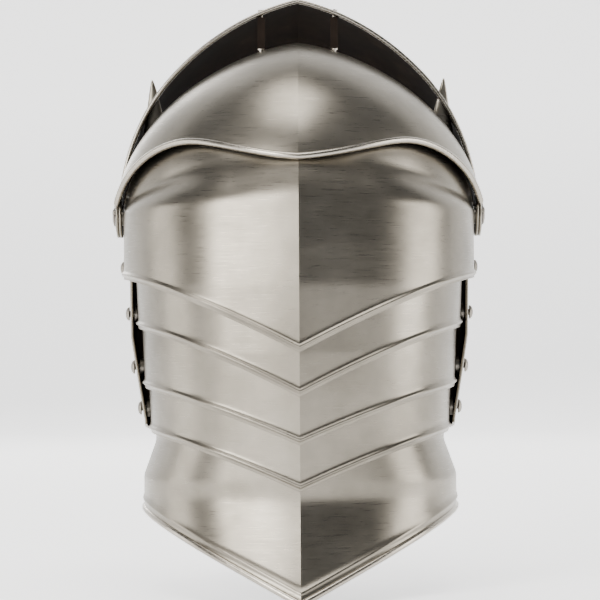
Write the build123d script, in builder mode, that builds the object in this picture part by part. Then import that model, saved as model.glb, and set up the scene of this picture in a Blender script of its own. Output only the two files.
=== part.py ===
from build123d import *
import math
import os

# Knight's helmet with its visor raised.  Millimetres.
# +Z is up, the face looks along -Y and the wearer's left is +X.
# The origin is the middle of the visor's pivot axis, between the temples.

# ---- sheet and clearances ---------------------------------------------------
plate = 1.6               # thickness of every steel plate
slip = 1.8                # gap between neck plates that slide on each other
arm_gap = 1.2             # gap between the two visor arms, at the pivots
leather = 2.0             # thickness of straps and bands
pin_gap = 0.05            # radial clearance of a turning rivet in its hole
past = 300.0              # longer than the whole helmet, for cuts

# ---- skull ------------------------------------------------------------------
skull_half_width = 115.0  # outside, at the pivots
dome_radius = 103.8       # from the pivot axis to the dome, beside the keel
dome_power = 1.8          # squareness of the dome: 2 is an ellipse
keel_height = 6.5
keel_reach = 42.0         # how far the keel spreads to each side
brow_angle = 24.0         # front edge of the skull, above straight ahead
temple_front = 36.0       # how far the skull's sides reach in front of the pivots
ear_front = 9.0           # the same, below the pivots

# depth of the back beside the keel, as (height, depth) from the crown to the nape
back_depths = ((45.0, 88.0), (30.0, 99.0), (15.0, 106.0), (0.0, 111.0), (-20.0, 115.0),
               (-45.0, 117.5), (-88.0, 117.0), (-115.0, 115.5), (-145.0, 113.5),
               (-175.0, 112.0), (-245.0, 112.0))

# ---- visor ------------------------------------------------------------------
visor_half_width = 118.4  # outside of the face plate's arms
brow_radius = 110.0
brow_keel = 3.5
brow_reach = 60.0
face_radius = 130.5
face_keel = 12.0
face_reach = 80.0
arm_radius = 14.0         # round end of each visor arm
sight_angle = 6.0         # opening between brow plate and face plate
face_span = 38.0          # angle that the face plate covers at the nose
# rear edge of the brow plate, raised, as (share of its radius, angle above straight ahead)
brow_rear = ((1.3, 175.0), (1.03, 162.0), (0.8, 147.0), (0.58, 141.0), (0.33, 138.0), (0.13, 150.0))

cusp_tip = (97.0, 91.6)   # pointed cusps that stand on the face plate, (across, up)
cusp_foot = 103.0
cusp_width = 15.0
cusp_inner = 79.0
cusp_outer = 72.0
cusp_start = 9.0          # how far in front of the face plate's top edge they stand
cusp_thickness = 4.0
bridge_x = 24.0           # bridges across the sight
bridge_width = 5.0
bridge_foot = 5.0         # angle that each end of a bridge lies under its plate
peg_shank = 2.0
peg_radius = 4.5
peg_length = 9.0

# ---- neck: lower edge of each plate, at the middle and at the sides ---------
skull_edge = (-87.6, -41.5)
lame_edges = ((-115.0, -73.5), (-145.0, -112.0), (-174.0, -141.0))
neck_edge = (-241.0, -190.0)
overlap = 24.0            # length of each neck plate under the one above, at the middle
side_overlap = 3.5        # the same at the sides, below the rivet of the plate above
edge_power = 1.3          # curve of the V-shaped edges
lame_half_widths = (105.6, 101.6, 97.8)
side_taper = 0.04         # how fast the lames narrow downwards
neck_half_width = 94.6
neck_flare = 24.0         # how far the neck plate turns out behind
neck_side_flare = 8.0     # how far it turns out at the sides
lame_front = 16.0         # how far the neck plates reach in front of the pivots
lame_fore = 80.0          # depth of the arch that their front ends follow

# ---- bevor: (height, half-width, depth) from its top to its bottom ----------
bevor_levels = ((-18.0, 111.4, 89.0), (-47.0, 111.4, 88.0), (-79.0, 111.0, 84.0),
                (-105.0, 107.0, 80.0), (-133.0, 102.4, 79.0), (-172.0, 99.0, 82.0))
bevor_keel = 7.0
bevor_reach = 55.0
bevor_hind = 111.0        # depth of the arch that the bevor's rear ends follow
bevor_back = 13.0         # rear edge, behind the pivots
bevor_top = -56.0         # top edge at the chin
bevor_bottom = -158.0     # lower edge at the throat

# ---- rivets and bolts -------------------------------------------------------
cheek_rivet_z = -34.0
lame_rivet_z = (-64.0, -99.0, -126.0)
head_radius = 4.6         # domed rivet heads
head_rise = 2.6
shank_radius = 2.0
seat_rise = 0.8           # rivet heads on the sloping bevor rest on its high side
turn_gap = 0.5            # end play of the turning plates
washer_radius = 6.0
arm_rivet_angles = (45.0, 165.0)
arm_rivet_reach = 9.5     # from the pivot axis to the rivets that join the visor arms
arm_shank = 1.2
arm_head = 2.4
arm_tail = 2.0
arm_rise = 1.0
head_lift = 0.9           # small heads sit on the high side of a curved plate
seat_lift = 0.25
bolt_head_radius = 6.5
bolt_head_rise = 1.6
bolt_shank_radius = 3.5
nut_radius = 7.0
nut_height = 4.0

# ---- padding and chin strap -------------------------------------------------
cap_thickness = 10.0
cap_bottom = 12.0         # lower edge of the padded cap
band_bottom = -30.0       # leather band round the back of the cap
band_height = 18.0
band_gap = 0.4
strap_width = 16.0
strap_y = -30.0           # rivets that hold the chin straps inside the bevor
strap_z = -50.0
strap_head = 3.4
strap_gap = 1.6           # between a strap's middle and the curved bevor
# middle of the left strap below its rivet: (across, along, up)
strap_route = ((84.0, -34.0, -104.0), (58.0, -38.0, -134.0), (34.0, -40.0, -143.5))
buckle_y = -40.0
buckle_z = -149.0
buckle_length = 26.0      # across the helmet, along the strap
buckle_wire = 3.0
tongue_eye = 3.4          # the tongue's round eye and its bore, about the bar
tongue_bore = 2.25

os.makedirs("parts", exist_ok=True)


def between(levels, z):
    """Value at height z, read off a profile of (height, value) levels."""
    for (z_high, high), (z_low, low) in zip(levels, levels[1:]):
        if z >= z_low:
            return low + (high - low) * (z - z_low) / (z_high - z_low)
    return levels[-1][1]


def arch(half_width, depth, keel, reach, power=2.0, steps=9):
    """Half of a section: a rounded arch with a keel at its middle, ending at the side."""
    points = []
    for step in range(steps + 1):
        turn = math.radians(90.0 * step / steps)
        x = half_width * math.sin(turn) ** (2.0 / power)
        rise = keel * max(0.0, 1.0 - x / reach) ** 1.5
        points.append((x, depth * max(0.0, math.cos(turn)) ** (2.0 / power) + rise))
    points[-1] = (half_width, 0.0)
    return points


def dome_face(half_width, radius, keel, reach, power=dome_power):
    """The section that is turned about X to make a dome."""
    with BuildSketch(Plane.XY) as sketch:
        with BuildLine():
            points = arch(half_width, radius, keel, reach, power)
            Spline(*points)
            Line(points[-1], (0, 0))
            Line((0, 0), points[0])
        make_face()
        mirror(about=Plane.YZ)
    return sketch.sketch


def ring_face(z, half_width, back, front, keel=keel_height, reach=keel_reach,
              back_power=2.3, front_power=2.0, front_keel=0.0, front_reach=55.0):
    """A closed level section: the back with its keel and the front with its own."""
    with BuildSketch(Plane.XY.offset(z)) as sketch:
        with BuildLine():
            rear = arch(half_width, back, keel, reach, back_power)
            fore = arch(half_width, front, front_keel, front_reach, front_power)
            Spline(*rear)
            Spline(*[(x, -y) for x, y in reversed(fore)])
            Line((0, -fore[0][1]), (0, rear[0][1]))
        make_face()
        mirror(about=Plane.YZ)
    return sketch.sketch


def v_edge(edge, half_width, lift=0.0, power=edge_power, steps=6):
    """A V-shaped edge seen from behind, from the middle to past the side."""
    middle, side = edge
    points = []
    for step in range(steps + 1):
        share = step / steps
        z = side + (middle - side) * (1.0 - share) ** power
        points.append((half_width * share, z + lift))
    points.append((half_width + 30.0, side + lift))
    return points


def hidden_edge(edge):
    """The upper edge of a plate that slides under an edge."""
    return (edge[0] + overlap, edge[1] + side_overlap)


def band_face(upper, lower):
    """The area between two edges seen from behind, mirrored to both sides."""
    with BuildSketch(Plane.XZ) as sketch:
        with BuildLine():
            Polyline(*upper)
            Polyline(*lower)
            Line(upper[0], lower[0])
            Line(upper[-1], lower[-1])
        make_face()
        mirror(about=Plane.YZ)
    return sketch.sketch


def side_face(points, disc=0.0):
    """A side outline, given as (y, z) points, with a disc about the pivots if asked for."""
    with BuildSketch(Plane.YZ) as sketch:
        with BuildLine():
            Polyline(*points, close=True)
        make_face()
        if disc:
            Circle(disc)
    return sketch.sketch


def polar(radius, angle):
    """A side-view point at an angle above straight ahead."""
    turn = math.radians(angle)
    return (-radius * math.cos(turn), radius * math.sin(turn))


def side_x(half_width, radius, away, power=dome_power):
    """Where a dome's surface lies, at a distance from the pivot axis."""
    return half_width * (1.0 - (away / radius) ** power) ** (1.0 / power)


def bore(radius, y=0.0, z=0.0):
    """A hole through both sides, parallel to the pivot axis."""
    with BuildSketch(Plane.YZ) as sketch:
        with Locations((y, z)):
            Circle(radius)
    return sketch.sketch


def pin_face(side, x, y, z, profile):
    """Half section of a turned piece on one side; profile is (outwards, radius) points."""
    place = Plane(origin=(side * x, y, z), x_dir=(side, 0, 0), z_dir=(0, 0, side))
    with BuildSketch(place) as sketch:
        with BuildLine():
            Polyline(*profile, close=True)
        make_face()
    return sketch.sketch


def dome_profile(radius, rise, steps=6):
    """The rounded outside of a rivet or bolt head, from its rim to its crown."""
    points = []
    for step in range(steps + 1):
        turn = math.radians(90.0 * step / steps)
        points.append((rise * math.sin(turn), radius * math.cos(turn)))
    return points


def rivet_profile(radius, rise, shank, length, tail_radius, tail_height):
    """A domed rivet: its head rests at 0 and its shank runs inwards to a flat tail."""
    points = dome_profile(radius, rise)
    points += [(-length - tail_height, 0.0), (-length - tail_height, tail_radius)]
    points += [(-length, tail_radius), (-length, shank), (0.0, shank)]
    return points


def ring_profile(inner, outer, start, end):
    """A washer, spacer or nut between two distances along its axis."""
    return [(start, inner), (end, inner), (end, outer), (start, outer)]


# ---- skull ------------------------------------------------------------------
def skull_rings(inset):
    """Level sections of the back of the skull, from inside the dome to the nape."""
    rings = []
    for z in (45.0, 30.0, 15.0, 0.0, -20.0, -45.0, -68.0, -90.0):
        front = dome_radius if z <= 0 else 5.0
        half = side_x(skull_half_width, dome_radius, z) - 2.0 if z > 0 else skull_half_width
        rings.append(ring_face(z, half - inset, between(back_depths, z) - inset, front - inset,
                               front_power=dome_power, front_keel=keel_height if z <= 0 else 0.0,
                               front_reach=keel_reach))
    return rings


brow_y, brow_z = polar(dome_radius, brow_angle)
temple = [(past, past), (-past, past), (-past, brow_z + 30.0), (brow_y, brow_z),
          (brow_y * 0.62, brow_z * 0.62), (-temple_front, 0.0), (-arm_radius, -arm_radius),
          (-ear_front, -arm_radius - 4.0), (-ear_front, -past), (past, -past)]
with BuildPart() as skull:
    revolve(dome_face(skull_half_width, dome_radius, keel_height, keel_reach),
            axis=Axis.X, revolution_arc=180)
    loft(sections=skull_rings(0.0), ruled=True)
    revolve(dome_face(skull_half_width - plate, dome_radius - plate, keel_height, keel_reach),
            axis=Axis.X, revolution_arc=180, mode=Mode.SUBTRACT)
    loft(sections=skull_rings(plate), ruled=True, mode=Mode.SUBTRACT)
    extrude(band_face([(0, past), (past, past)], v_edge(skull_edge, skull_half_width)),
            amount=past, both=True, mode=Mode.INTERSECT)
    extrude(side_face(temple), amount=past, both=True, mode=Mode.INTERSECT)
    extrude(bore(bolt_shank_radius), amount=past, both=True, mode=Mode.SUBTRACT)
    extrude(bore(shank_radius, 0.0, cheek_rivet_z), amount=past, both=True, mode=Mode.SUBTRACT)

# ---- visor ------------------------------------------------------------------
face_inner = visor_half_width - plate
brow_half_width = visor_half_width + arm_gap + plate
face_low = 90.0 - face_span
face_arm = polar(arm_radius, 30.0)
face_tip = polar(face_radius + face_keel, face_low)
face_beyond = (2 * face_tip[0] - face_arm[0], 2 * face_tip[1] - face_arm[1])
face_side = [(0.0, 0.0), (0.0, past), (-past, past), face_beyond, face_arm]


def cusp_face():
    """The two pointed cusps that stand on the face plate, seen from behind."""
    with BuildSketch(Plane.XZ.offset(cusp_start)) as sketch:
        with BuildLine():
            Polyline((cusp_foot - cusp_width, 0.0), (cusp_foot - cusp_width, cusp_inner), cusp_tip,
                     (cusp_foot, cusp_outer), (cusp_foot, 0.0), close=True)
        make_face()
        mirror(about=Plane.YZ)
    return sketch.sketch


def radial_place(x, radius, angle):
    """A plane on the centre part of the visor, facing away from the pivot axis."""
    y, z = polar(radius, angle)
    return Plane(origin=(x, y, z), x_dir=(1, 0, 0), z_dir=(0, y / radius, z / radius))


def front_radius(x, radius, keel, reach, half_width, power):
    """Distance from the pivot axis to a dome's surface at a place across the helmet."""
    rise = keel * max(0.0, 1.0 - abs(x) / reach) ** 1.5
    return radius * (1.0 - (abs(x) / half_width) ** power) ** (1.0 / power) + rise


face_bridge = front_radius(bridge_x, face_radius, face_keel, face_reach, visor_half_width, 2.0)
brow_bridge = front_radius(bridge_x, brow_radius, brow_keel, brow_reach, brow_half_width, dome_power)
peg_place = (-15.0, front_radius(15.0, face_radius, face_keel, face_reach, visor_half_width, 2.0),
             face_low + 7.0)
bridge_rivet_places = [(side * bridge_x, face_bridge, 90.0 - bridge_foot / 2) for side in (1, -1)]
bridge_rivet_places += [(side * bridge_x, brow_bridge, 90.0 + sight_angle + bridge_foot / 2)
                        for side in (1, -1)]
with BuildPart() as face_plate:
    revolve(dome_face(visor_half_width, face_radius, face_keel, face_reach, 2.0), axis=Axis.X)
    extrude(cusp_face(), amount=cusp_thickness)
    revolve(dome_face(face_inner, face_radius - plate, face_keel, face_reach, 2.0), axis=Axis.X,
            mode=Mode.SUBTRACT)
    extrude(side_face(face_side, arm_radius), amount=past, both=True, mode=Mode.INTERSECT)
    extrude(bore(bolt_shank_radius + pin_gap), amount=past, both=True, mode=Mode.SUBTRACT)
    for angle in arm_rivet_angles:
        extrude(bore(arm_shank, *polar(arm_rivet_reach, angle)), amount=past, both=True,
                mode=Mode.SUBTRACT)
    for place in bridge_rivet_places[:2]:
        with BuildSketch(radial_place(*place)):
            Circle(arm_shank)
        extrude(amount=8.0, both=True, mode=Mode.SUBTRACT)
    with BuildSketch(radial_place(*peg_place)):
        Circle(peg_shank)
    extrude(amount=8.0, both=True, mode=Mode.SUBTRACT)

brow_side = [(0.0, 0.0), polar(past, 90.0 + sight_angle), (past, past)]
brow_side += [polar(share * brow_radius, angle) for share, angle in brow_rear]
with BuildPart() as brow_plate:
    revolve(dome_face(brow_half_width, brow_radius, brow_keel, brow_reach), axis=Axis.X)
    revolve(dome_face(brow_half_width - plate, brow_radius - plate, brow_keel, brow_reach),
            axis=Axis.X, mode=Mode.SUBTRACT)
    extrude(side_face(brow_side, arm_radius), amount=past, both=True, mode=Mode.INTERSECT)
    extrude(bore(bolt_shank_radius + pin_gap), amount=past, both=True, mode=Mode.SUBTRACT)
    for angle in arm_rivet_angles:
        extrude(bore(arm_shank, *polar(arm_rivet_reach, angle)), amount=past, both=True,
                mode=Mode.SUBTRACT)
    for place in bridge_rivet_places[2:]:
        with BuildSketch(radial_place(*place)):
            Circle(arm_shank)
        extrude(amount=8.0, both=True, mode=Mode.SUBTRACT)

# ---- bridges between brow plate and face plate ------------------------------
bridge_low = brow_bridge - plate - 1.2
bridge_high = face_bridge - plate - 2.0
bridge_side = [polar(bridge_low, 90.0 + sight_angle + bridge_foot),
               polar(bridge_low, 90.0 + sight_angle), polar(bridge_high, 90.0),
               polar(bridge_high, 90.0 - bridge_foot), polar(bridge_high - plate, 90.0 - bridge_foot),
               polar(bridge_high - plate, 89.2), polar(bridge_low - plate, 89.2 + sight_angle),
               polar(bridge_low - plate, 90.0 + sight_angle + bridge_foot)]
with BuildPart() as sight_bridges:
    for side in (1, -1):
        with BuildSketch(Plane.YZ.offset(side * bridge_x)):
            with BuildLine():
                Polyline(*bridge_side, close=True)
            make_face()
        extrude(amount=bridge_width / 2, both=True)
    for place in bridge_rivet_places:
        with BuildSketch(radial_place(*place)):
            Circle(arm_shank)
        extrude(amount=8.0, both=True, mode=Mode.SUBTRACT)

with BuildPart() as bridge_rivets:
    for place in bridge_rivet_places:
        with BuildSketch(radial_place(*place).offset(head_lift)):
            Circle(arm_head)
        extrude(amount=arm_rise)
        with BuildSketch(radial_place(*place).offset(head_lift)):
            Circle(arm_shank)
        extrude(amount=-(head_lift + 2 * plate + 1.8))

peg_x, peg_reach, peg_angle = peg_place
with BuildPart() as lifting_peg:
    with BuildSketch(radial_place(*peg_place)):
        Circle(peg_shank)
    extrude(amount=peg_length)
    with BuildSketch(radial_place(*peg_place)):
        Circle(peg_shank)
    extrude(amount=-plate - 1.5)
    with BuildSketch(radial_place(peg_x, peg_reach + 1.2, peg_angle)):
        Circle(peg_radius)
    extrude(amount=1.5)
    with BuildSketch(radial_place(peg_x, peg_reach + peg_length, peg_angle)):
        Circle(peg_radius)
    extrude(amount=5.0)
    fillet(lifting_peg.edges().filter_by(GeomType.CIRCLE).sort_by(Axis.Z)[-1:], 1.5)

arm_x = side_x(brow_half_width, brow_radius, arm_rivet_reach)
with BuildPart() as arm_rivets:
    for side in (1, -1):
        for angle in arm_rivet_angles:
            y, z = polar(arm_rivet_reach, angle)
            profile = rivet_profile(arm_head, arm_rise, arm_shank, 2 * plate + arm_gap + 1.3,
                                    arm_tail, 0.5)
            revolve(pin_face(side, arm_x + head_lift, y, z, profile), axis=Axis((0, y, z), (1, 0, 0)))

# ---- pivots -----------------------------------------------------------------
bolt_seat = brow_half_width
with BuildPart() as pivot_bolts:
    for side in (1, -1):
        profile = rivet_profile(bolt_head_radius, bolt_head_rise, bolt_shank_radius,
                                bolt_seat - skull_half_width + plate + nut_height + 1.0,
                                0.8 * bolt_shank_radius, 1.0)
        revolve(pin_face(side, bolt_seat, 0.0, 0.0, profile), axis=Axis.X)

nut_seat = side_x(skull_half_width - plate, dome_radius - plate, nut_radius)
with BuildPart() as pivot_nuts:
    for side in (1, -1):
        place = Plane(origin=(side * nut_seat, 0, 0), x_dir=(0, 1, 0), z_dir=(-side, 0, 0))
        with BuildSketch(place):
            RegularPolygon(nut_radius, 6)
            Circle(bolt_shank_radius, mode=Mode.SUBTRACT)
        extrude(amount=nut_height)

with BuildPart() as pivot_washers:
    for side in (1, -1):
        profile = ring_profile(bolt_shank_radius, washer_radius, 0.0,
                               side_x(face_inner, face_radius - plate, washer_radius, 2.0)
                               - skull_half_width - 2 * seat_lift)
        revolve(pin_face(side, skull_half_width + seat_lift, 0.0, 0.0, profile), axis=Axis.X)

# ---- bevor ------------------------------------------------------------------
def bevor_rings(inset):
    """Level sections of the bevor, from its top to its bottom."""
    return [ring_face(z, half - inset, bevor_hind - inset, depth - inset, keel=0.0, front_keel=bevor_keel,
                      front_reach=bevor_reach)
            for z, half, depth in bevor_levels]


def bevor_x(z):
    """Outside half-width of the bevor at a height."""
    return between([(level, half) for level, half, depth in bevor_levels], z)


def strap_place(side):
    """A plane on the outside of the bevor where a chin strap is riveted."""
    depth = between([(level, deep) for level, half, deep in bevor_levels], strap_z)
    share = strap_y / depth
    x = bevor_x(strap_z) * math.sqrt(1.0 - share * share)
    lean = bevor_x(strap_z) * -strap_y / (depth * depth * math.sqrt(1.0 - share * share))
    long = math.hypot(1.0, lean)
    return Plane(origin=(side * x, strap_y, strap_z), x_dir=(0, 0, 1),
                 z_dir=(side / long, -lean / long, 0))


top_z = bevor_levels[0][0]
bevor_side = [(bevor_back, top_z), (bevor_back, lame_rivet_z[2] - washer_radius - 2.0),
              (-lame_front - 6.0, lame_rivet_z[2] - 16.0), (-60.0, bevor_bottom),
              (-past, bevor_bottom), (-past, bevor_top), (-78.0, bevor_top), (-45.0, top_z)]
with BuildPart() as bevor:
    loft(sections=bevor_rings(0.0), ruled=True)
    loft(sections=bevor_rings(plate), ruled=True, mode=Mode.SUBTRACT)
    extrude(side_face(bevor_side), amount=past, both=True, mode=Mode.INTERSECT)
    for z in (cheek_rivet_z, *lame_rivet_z):
        extrude(bore(shank_radius, 0.0, z), amount=past, both=True, mode=Mode.SUBTRACT)
    for side in (1, -1):
        with BuildSketch(strap_place(side)):
            Circle(shank_radius)
        extrude(amount=8.0, both=True, mode=Mode.SUBTRACT)

with BuildPart() as strap_rivets:
    for side in (1, -1):
        with BuildSketch(strap_place(side).offset(head_lift)):
            Circle(strap_head)
        extrude(amount=arm_rise)
        with BuildSketch(strap_place(side).offset(head_lift)):
            Circle(shank_radius)
        extrude(amount=-(head_lift + plate + leather + 2.0))

with BuildPart() as cheek_rivets:
    for side in (1, -1):
        profile = rivet_profile(head_radius, head_rise, shank_radius,
                                skull_half_width - bevor_x(cheek_rivet_z) + plate + 0.6,
                                head_radius * 0.8, 1.0)
        revolve(pin_face(side, skull_half_width + seat_lift, 0.0, cheek_rivet_z, profile),
                axis=Axis((0, 0, cheek_rivet_z), (1, 0, 0)))

# ---- neck plates ------------------------------------------------------------
def lame_x(index, z):
    """Outside half-width of a neck lame at a height."""
    return lame_half_widths[index] + side_taper * (z - lame_edges[index][1])


def lame_depth(index, z):
    """Outside depth of a neck plate behind, beside its keel."""
    return between(back_depths, z) - (index + 1) * (plate + slip)


def lame_rings(index, inset, steps=6):
    """Level sections of a neck lame, from its hidden top to its lower edge."""
    above = (skull_edge, *lame_edges)[index]
    top = above[1] + overlap + 3.0
    bottom = lame_edges[index][0] - 3.0
    rings = []
    for step in range(steps + 1):
        z = top + (bottom - top) * step / steps
        rings.append(ring_face(z, lame_x(index, z) - inset, lame_depth(index, z) - inset, lame_fore))
    return rings


def neck_x(z):
    """Outside half-width of the flared neck plate."""
    turn_out = min(1.0, max(0.0, (lame_edges[2][1] - 6.0 - z) / 22.0))
    return neck_half_width + neck_side_flare * turn_out


def neck_depth(z):
    """Outside depth of the flared neck plate behind, beside its keel."""
    turn_out = max(0.0, (lame_edges[2][0] - 6.0 - z) / (lame_edges[2][0] - 6.0 - neck_edge[0]))
    return lame_depth(3, z) + neck_flare * turn_out ** 1.3


def neck_rings(inset, steps=10):
    """Level sections of the flared neck plate."""
    top = lame_edges[2][1] + overlap + 3.0
    bottom = neck_edge[0] - 3.0
    rings = []
    for step in range(steps + 1):
        z = top + (bottom - top) * step / steps
        rings.append(ring_face(z, neck_x(z) - inset, neck_depth(z) - inset, lame_fore))
    return rings


front_cut = [(-lame_front, past), (past, past), (past, -past), (-lame_front, -past)]
with BuildPart() as lame_1:
    loft(sections=lame_rings(0, 0.0), ruled=True)
    loft(sections=lame_rings(0, plate), ruled=True, mode=Mode.SUBTRACT)
    extrude(band_face(v_edge(hidden_edge(skull_edge), skull_half_width),
                      v_edge(lame_edges[0], lame_half_widths[0])),
            amount=past, both=True, mode=Mode.INTERSECT)
    extrude(side_face(front_cut), amount=past, both=True, mode=Mode.INTERSECT)
    extrude(bore(shank_radius + pin_gap, 0.0, lame_rivet_z[0]), amount=past, both=True,
            mode=Mode.SUBTRACT)

with BuildPart() as lame_2:
    loft(sections=lame_rings(1, 0.0), ruled=True)
    loft(sections=lame_rings(1, plate), ruled=True, mode=Mode.SUBTRACT)
    extrude(band_face(v_edge(hidden_edge(lame_edges[0]), lame_half_widths[0]),
                      v_edge(lame_edges[1], lame_half_widths[1])),
            amount=past, both=True, mode=Mode.INTERSECT)
    extrude(side_face(front_cut), amount=past, both=True, mode=Mode.INTERSECT)
    extrude(bore(shank_radius + pin_gap, 0.0, lame_rivet_z[1]), amount=past, both=True,
            mode=Mode.SUBTRACT)

with BuildPart() as lame_3:
    loft(sections=lame_rings(2, 0.0), ruled=True)
    loft(sections=lame_rings(2, plate), ruled=True, mode=Mode.SUBTRACT)
    extrude(band_face(v_edge(hidden_edge(lame_edges[1]), lame_half_widths[1]),
                      v_edge(lame_edges[2], lame_half_widths[2])),
            amount=past, both=True, mode=Mode.INTERSECT)
    extrude(side_face(front_cut), amount=past, both=True, mode=Mode.INTERSECT)
    extrude(bore(shank_radius + pin_gap, 0.0, lame_rivet_z[2]), amount=past, both=True,
            mode=Mode.SUBTRACT)

with BuildPart() as neck_plate:
    loft(sections=neck_rings(0.0), ruled=True)
    loft(sections=neck_rings(plate), ruled=True, mode=Mode.SUBTRACT)
    extrude(band_face(v_edge(lame_edges[2], lame_half_widths[2], overlap),
                      v_edge(neck_edge, neck_half_width + neck_side_flare, power=1.0)),
            amount=past, both=True, mode=Mode.INTERSECT)
    extrude(side_face(front_cut), amount=past, both=True, mode=Mode.INTERSECT)
    extrude(bore(shank_radius + pin_gap, 0.0, lame_rivet_z[2]), amount=past, both=True,
            mode=Mode.SUBTRACT)

inner_x = [lame_x(0, lame_rivet_z[0]) - plate, lame_x(1, lame_rivet_z[1]) - plate,
           neck_x(lame_rivet_z[2]) - plate]
outer_x = [lame_x(index, z) for index, z in enumerate(lame_rivet_z)]
rivet_names = ("lame_rivets_1", "lame_rivets_2", "lame_rivets_3")
lame_rivets = []
for z, inside in zip(lame_rivet_z, inner_x):
    seat = bevor_x(z) + seat_rise
    with BuildPart() as rivets:
        for side in (1, -1):
            profile = rivet_profile(head_radius, head_rise, shank_radius,
                                    seat - inside + turn_gap, head_radius * 0.8, 1.0)
            revolve(pin_face(side, seat, 0.0, z, profile), axis=Axis((0, 0, z), (1, 0, 0)))
    lame_rivets.append(rivets)

with BuildPart() as lame_spacers:
    for z, outside in zip(lame_rivet_z, outer_x):
        reach = bevor_x(z) - plate - outside - 2 * turn_gap - seat_rise
        for side in (1, -1):
            profile = ring_profile(shank_radius, washer_radius, turn_gap, turn_gap + reach)
            revolve(pin_face(side, outside, 0.0, z, profile), axis=Axis((0, 0, z), (1, 0, 0)))

# ---- padding ----------------------------------------------------------------
cap_side = [(past, cap_bottom), (past, past), (-past, past), (-past, brow_z + 14.0),
            (brow_y * 0.8, brow_z), (-temple_front, cap_bottom)]
with BuildPart() as liner:
    for inset, mode in ((plate + band_gap, Mode.ADD), (plate + band_gap + cap_thickness, Mode.SUBTRACT)):
        revolve(dome_face(skull_half_width - inset, dome_radius - inset, 0.0, keel_reach),
                axis=Axis.X, revolution_arc=180, mode=mode)
    extrude(side_face(cap_side), amount=past, both=True, mode=Mode.INTERSECT)

band_side = [(past, band_bottom), (past, band_bottom + band_height),
             (bevor_back + 3.0, band_bottom + band_height), (bevor_back + 3.0, band_bottom)]
with BuildPart() as liner_band:
    loft(sections=skull_rings(plate + band_gap), ruled=True)
    loft(sections=skull_rings(plate + band_gap + leather), ruled=True, mode=Mode.SUBTRACT)
    extrude(side_face(band_side), amount=past, both=True, mode=Mode.INTERSECT)

# ---- chin strap -------------------------------------------------------------
def strap_sections(side, end):
    """Strap cross-sections from the bevor's rivet, round the jaw, to the buckle."""
    top = strap_place(side)
    inside = top.origin - top.z_dir * (plate + leather / 2 + strap_gap)
    stations = [(inside + Vector(0, 0, 9), Vector(0, 0, -1), top.z_dir),
                (inside - Vector(0, 0, 9), Vector(0, 0, -1), top.z_dir)]
    route = [Vector(side * x, y, z) for x, y, z in strap_route] + [Vector(*end)]
    for here, after in zip(route, route[1:] + [route[-1]]):
        before = stations[-1][0]
        along = (after - before).normalized()
        stations.append((here, along, Vector(-along.Z, 0, along.X) * -side))
    faces = []
    for centre, along, outwards in stations:
        with BuildSketch(Plane(origin=centre, x_dir=outwards, z_dir=along)) as sketch:
            Rectangle(leather, strap_width)
        faces.append(sketch.sketch)
    return faces


bar_x = buckle_length / 2 - buckle_wire / 2
with BuildPart() as strap_left:
    loft(sections=strap_sections(1, (buckle_length / 2 + 2.4, buckle_y, buckle_z)))
    with BuildSketch(strap_place(1)):
        Circle(shank_radius)
    extrude(amount=-8.0, mode=Mode.SUBTRACT)

with BuildPart() as strap_right:
    loft(sections=strap_sections(-1, (buckle_length / 2 - 5.0, buckle_y,
                                      buckle_z + buckle_wire / 2 + leather / 2 + 0.5)))
    with BuildSketch(strap_place(-1)):
        Circle(shank_radius)
    extrude(amount=-8.0, mode=Mode.SUBTRACT)

with BuildPart() as buckle_frame:
    with BuildSketch(Plane.XY.offset(buckle_z - buckle_wire / 2)):
        with Locations((0, buckle_y)):
            RectangleRounded(buckle_length, strap_width + 2 * buckle_wire + 2.0, 2.0)
            Rectangle(buckle_length - 2 * buckle_wire, strap_width + 2.0, mode=Mode.SUBTRACT)
    extrude(amount=buckle_wire)

tongue_z = buckle_wire / 2 + leather + 1.9
with BuildPart() as buckle_tongue:
    with BuildSketch(Plane.XZ.offset(-buckle_y - 1.2)):
        with BuildLine():
            Polyline((bar_x + 1.4, buckle_z + 2.4),
                     (bar_x + 1.4, buckle_z + tongue_z + 1.6), (-bar_x - 1.5, buckle_z + tongue_z + 1.6),
                     (-bar_x - 1.5, buckle_z + tongue_z), (bar_x - 1.4, buckle_z + tongue_z),
                     (bar_x - 1.4, buckle_z + 2.4), close=True)
        make_face()
        with Locations((bar_x, buckle_z)):
            Circle(tongue_eye)
            Circle(tongue_bore, mode=Mode.SUBTRACT)
    extrude(amount=2.4)

# ---- files ------------------------------------------------------------------
skull.part.label = "skull"
export_step(skull.part, "parts/skull.step")
face_plate.part.label = "face_plate"
export_step(face_plate.part, "parts/face_plate.step")
brow_plate.part.label = "brow_plate"
export_step(brow_plate.part, "parts/brow_plate.step")
arm_rivets.part.label = "arm_rivets"
export_step(arm_rivets.part, "parts/arm_rivets.step")
sight_bridges.part.label = "sight_bridges"
export_step(sight_bridges.part, "parts/sight_bridges.step")
bridge_rivets.part.label = "bridge_rivets"
export_step(bridge_rivets.part, "parts/bridge_rivets.step")
lifting_peg.part.label = "lifting_peg"
export_step(lifting_peg.part, "parts/lifting_peg.step")
pivot_bolts.part.label = "pivot_bolts"
export_step(pivot_bolts.part, "parts/pivot_bolts.step")
pivot_nuts.part.label = "pivot_nuts"
export_step(pivot_nuts.part, "parts/pivot_nuts.step")
pivot_washers.part.label = "pivot_washers"
export_step(pivot_washers.part, "parts/pivot_washers.step")
bevor.part.label = "bevor"
export_step(bevor.part, "parts/bevor.step")
cheek_rivets.part.label = "cheek_rivets"
export_step(cheek_rivets.part, "parts/cheek_rivets.step")
strap_rivets.part.label = "strap_rivets"
export_step(strap_rivets.part, "parts/strap_rivets.step")
lame_1.part.label = "lame_1"
export_step(lame_1.part, "parts/lame_1.step")
lame_2.part.label = "lame_2"
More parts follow.
